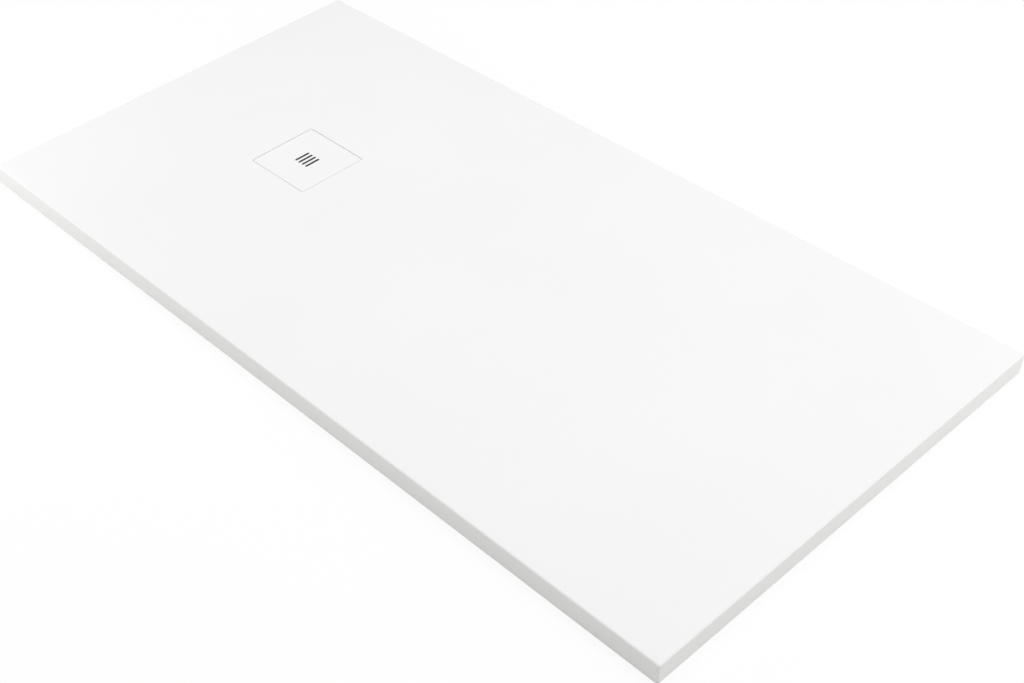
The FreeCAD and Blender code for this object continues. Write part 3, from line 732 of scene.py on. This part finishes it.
def make_flange():
    """The steel ring, with countersunk holes for its screws."""
    top = FLANGE_HIGH.z
    under = top - FLANGE_THICKNESS
    flange = turned(
        "steel_flange",
        [
            (THROAT_RADIUS, FLANGE_LOW.z),
            (SKIRT_RADIUS, FLANGE_LOW.z),
            (SKIRT_RADIUS, under),
            (FLANGE_RADIUS, under),
            (FLANGE_RADIUS, top - FLANGE_EDGE),
            (FLANGE_RADIUS - FLANGE_EDGE, top),
            (THROAT_RADIUS, top),
        ],
        sides=128,
    )
    bevel(flange, on_ring(THROAT_RADIUS, top), THROAT_ROUND, segments=5)
    bevel(flange, on_ring(SKIRT_RADIUS, under), SKIRT_FILLET, segments=3)
    sink_depth = SCREW_SINK - SCREW_HOLE
    sink = [
        (SCREW_HOLE, under - FLANGE_THICKNESS),
        (SCREW_HOLE, top - sink_depth),
        (SCREW_SINK, top),
        (SCREW_SINK, top + FLANGE_THICKNESS),
    ]
    for place in around_drain(SCREW_COUNT, SCREW_CIRCLE):
        combine(flange, turned("sink_cutter", sink, place, closed=False, sides=48))
    ease_edges(flange, FLANGE_EASE, angle=30)
    return flange


def make_tube():
    """The lift-out dip tube: its head, the grooved plug and the bar it is lifted by."""
    top, seat = TUBE_HIGH.z, TUBE_HIGH.z - HEAD_THICKNESS
    plug_foot = seat - PLUG_LENGTH
    groove_top = seat - GROOVE_OFFSET
    groove_foot = groove_top - GROOVE_HEIGHT
    tube = turned(
        "lift_out_tube",
        [
            (TUBE_BORE, TUBE_LOW.z),
            (TUBE_RADIUS, TUBE_LOW.z),
            (TUBE_RADIUS, plug_foot),
            (PLUG_RADIUS, plug_foot),
            (PLUG_RADIUS, groove_foot),
            (GROOVE_RADIUS, groove_foot),
            (GROOVE_RADIUS, groove_top),
            (PLUG_RADIUS, groove_top),
            (PLUG_RADIUS, seat),
            (HEAD_RADIUS, seat),
            (HEAD_RADIUS, top),
            (TUBE_BORE, top),
        ],
    )
    bar_top = seat - BAR_DEPTH
    reach = TUBE_RADIUS - (TUBE_RADIUS - TUBE_BORE) / 2  # the middle of the tube's wall
    bar = start_box(
        "lifting_bar",
        Vector((DRAIN_X - reach, -BAR_WIDTH / 2, bar_top - BAR_HEIGHT)),
        Vector((DRAIN_X + reach, BAR_WIDTH / 2, bar_top)),
    )
    ease_edges(bar, BAR_ROUND, segments=4)
    combine(tube, bar, "UNION")
    ease_edges(tube, TUBE_EASE)
    return tube


def make_basket():
    """The hair strainer: a pierced basket with a rim to hang by and a knob to lift."""
    top, foot = STRAINER_HIGH.z, STRAINER_LOW.z
    rim_under = TUBE_HIGH.z
    lip = rim_under + BASKET_WALL
    floor = foot + BASKET_WALL
    inside = BASKET_RADIUS - BASKET_WALL
    basket = turned(
        "pierced_basket",
        [
            (BASKET_RADIUS, foot),
            (BASKET_RADIUS, rim_under),
            (BASKET_RIM, rim_under),
            (BASKET_RIM, lip),
            (inside, lip),
            (inside, floor),
            (KNOB_RADIUS, floor),
            (KNOB_RADIUS, top),
        ],
        closed=False,
    )
    bevel(basket, on_ring(BASKET_RADIUS, foot), BASKET_FOOT_ROUND, segments=4)
    bevel(basket, on_ring(inside, lip), BASKET_LIP_ROUND, segments=4)
    bevel(basket, on_ring(KNOB_RADIUS, top), KNOB_ROUND, segments=4)
    bevel(basket, on_ring(KNOB_RADIUS, floor), KNOB_FILLET, segments=3)
    low, high = foot - HOLE_BELOW, floor + HOLE_ABOVE
    for count, circle in BASKET_HOLES:
        for x, y in around_drain(count, circle):
            cut_round(basket, BASKET_HOLE, low, high, x, y, sides=24)
    return basket


finish_piece(make_tray(), "tray_set", ["tray"], cast_white)
finish_piece(make_cover(), "cover", ["cover_plate"], cover_white)
for number, pad in enumerate(make_pads(), start=1):
    finish_piece(pad, "cover", [f"cover_pad_{number}"], black_rubber)
finish_piece(make_flange(), "tray_set", ["waste_flange"], turned_steel)
finish_piece(make_tube(), "siphon", ["dip_tube"], moulded_grey)
finish_piece(
    make_basket(), "strainer", ["hair_strainer"], moulded_black
)


# ---- finishes of the waste set's own solids --------------------------------------------

SOLID_FINISHES = {
    "flange_screws": screw_steel,
    "upper_seal": black_rubber,
    "lower_seal": black_rubber,
    "trap_top": moulded_white,
    "brass_inserts": machined_brass,
    "trap_pot": moulded_white,
    "dip_tube_o_ring": black_rubber,
    "outlet_elbow": moulded_white,
    "tapered_washer": black_rubber,
    "slip_ring": moulded_white,
    "union_nut": moulded_white,
}
for node, finish in SOLID_FINISHES.items():
    wear(nodes[node], finish)


# ---- the studio ------------------------------------------------------------------------

FLOOR_REACH = 12.0
PIT_LOW = Vector((-0.62, -0.2))
PIT_HIGH = Vector((-0.25, 0.2))
PIT_DEPTH = 0.15
FLOOR_TONE = 0.8
FLOOR_ROUGHNESS = 0.9
FLOOR_SPECULAR = 0.1
# What the camera sees of the floor is its lit surface, at this share, and a plain glow, which
# makes a spot without shade just white. Between two distances the shade fades out.
SHADE_KEPT = 0.2
SHADE_FADES = (2.0, 5.0)
FLOOR_GLOW = (1 - FLOOR_TONE * SHADE_KEPT) / (1 - SHADE_KEPT)
WHITE = (1, 1, 1, 1)
AMBIENT = 0.55
LAMPS = (
    # name, place, what it points at, width and depth, power
    ("overhead_softbox", (0.2, 0.5, 3.0), (0, 0, 0), (3.5, 2.5), 46.0),
    ("left_lamp", (-1.35, -1.25, 0.5), (-0.7, -0.4, 0), (0.6, 0.6), 6.2),
    ("right_lamp", (2.2, 1.4, 0.8), (0.75, 0.3, 0), (0.9, 0.9), 10.8),
)
# azimuth, elevation and roll in degrees
CAMERA_TURNS = (51.662, 41.055, -4.365)
CAMERA_PLACE = (1.4425, -1.4002, 1.6037)
CAMERA_LENS = 55.92
CAMERA_SHIFT = 0.17


def seen_directly(tree):
    """1 for rays that the camera, a mirror or a pane sends, 0 for light's own bounces."""
    rays = add_node(tree, "ShaderNodeLightPath").outputs
    either = add_math(tree, "MAXIMUM", rays["Is Camera Ray"], rays["Is Glossy Ray"])
    return add_math(tree, "MAXIMUM", either, rays["Is Transmission Ray"])


def make_floor():
    """A white floor with a pit under the tray, where the trap hangs."""
    bpy.ops.object.select_all(action="DESELECT")
    bpy.ops.mesh.primitive_plane_add(size=2 * FLOOR_REACH)
    floor = bpy.context.object
    floor.name = "studio_floor"
    bpy.ops.object.mode_set(mode="EDIT")
    bpy.ops.mesh.inset(thickness=FLOOR_REACH / 2)
    size = PIT_HIGH - PIT_LOW
    bpy.ops.transform.resize(
        value=(size.x / FLOOR_REACH, size.y / FLOOR_REACH, 1), center_override=(0, 0, 0)
    )
    bpy.ops.transform.translate(value=(*((PIT_LOW + PIT_HIGH) / 2), 0))
    bpy.ops.mesh.extrude_region_move(
        TRANSFORM_OT_translate={"value": (0, 0, -PIT_DEPTH)}
    )
    bpy.ops.object.mode_set(mode="OBJECT")
    material = bpy.data.materials.new("studio_white")
    material.use_nodes = True
    tree = material.node_tree
    shader = tree.nodes["Principled BSDF"]
    feed(tree, shader.inputs["Base Color"], (FLOOR_TONE, FLOOR_TONE, FLOOR_TONE, 1))
    feed(tree, shader.inputs["Roughness"], FLOOR_ROUGHNESS)
    feed(tree, shader.inputs["Specular IOR Level"], FLOOR_SPECULAR)
    glow = add_node(tree, "ShaderNodeEmission")
    feed(tree, glow.inputs["Strength"], FLOOR_GLOW)
    away = add_length(tree, add_place(tree))
    white_share = add_range(tree, away, 1 - SHADE_KEPT, 1.0, SHADE_FADES)
    share = add_math(tree, "MULTIPLY", seen_directly(tree), white_share)
    mix_shaders(tree, share, shader.outputs["BSDF"], glow.outputs["Emission"],
                "Material Output")
    floor.data.materials.append(material)


def make_world():
    """Soft light from all sides, and plain white behind the object."""
    world = bpy.data.worlds.new("studio_air")
    bpy.context.scene.world = world
    world.use_nodes = True
    tree = world.node_tree
    ambient = tree.nodes["Background"]
    feed(tree, ambient.inputs["Color"], WHITE)
    feed(tree, ambient.inputs["Strength"], AMBIENT)
    backdrop = add_node(tree, "ShaderNodeBackground")
    feed(tree, backdrop.inputs["Color"], WHITE)
    mix_shaders(tree, seen_directly(tree), ambient.outputs["Background"],
                backdrop.outputs["Background"], "World Output")


def make_lamp(name, place, aim, size, power):
    """A soft rectangular lamp at a place, turned to what it lights."""
    lamp = bpy.data.lights.new(name, "AREA")
    lamp.shape = "RECTANGLE"
    lamp.size, lamp.size_y = size
    lamp.energy = power
    holder = bpy.data.objects.new(name, lamp)
    bpy.context.scene.collection.objects.link(holder)
    holder.location = place
    holder.rotation_euler = (Vector(aim) - Vector(place)).to_track_quat("-Z", "Y").to_euler()


def make_camera():
    """Looks down the tray from past its far end, a little rolled."""
    camera = bpy.data.objects.new("camera", bpy.data.cameras.new("camera"))
    bpy.context.scene.collection.objects.link(camera)
    azimuth, elevation, roll = (math.radians(turn) for turn in CAMERA_TURNS)
    camera.matrix_world = (
        Matrix.Translation(CAMERA_PLACE)
        @ Matrix.Rotation(azimuth, 4, "Z")
        @ Matrix.Rotation(math.pi / 2 - elevation, 4, "X")
        @ Matrix.Rotation(roll, 4, "Z")
    )
    camera.data.lens = CAMERA_LENS
    camera.data.shift_x = CAMERA_SHIFT
    bpy.context.scene.camera = camera


make_floor()
make_world()
for lamp in LAMPS:
    make_lamp(*lamp)
make_camera()
bpy.context.scene.view_settings.view_transform = "Standard"
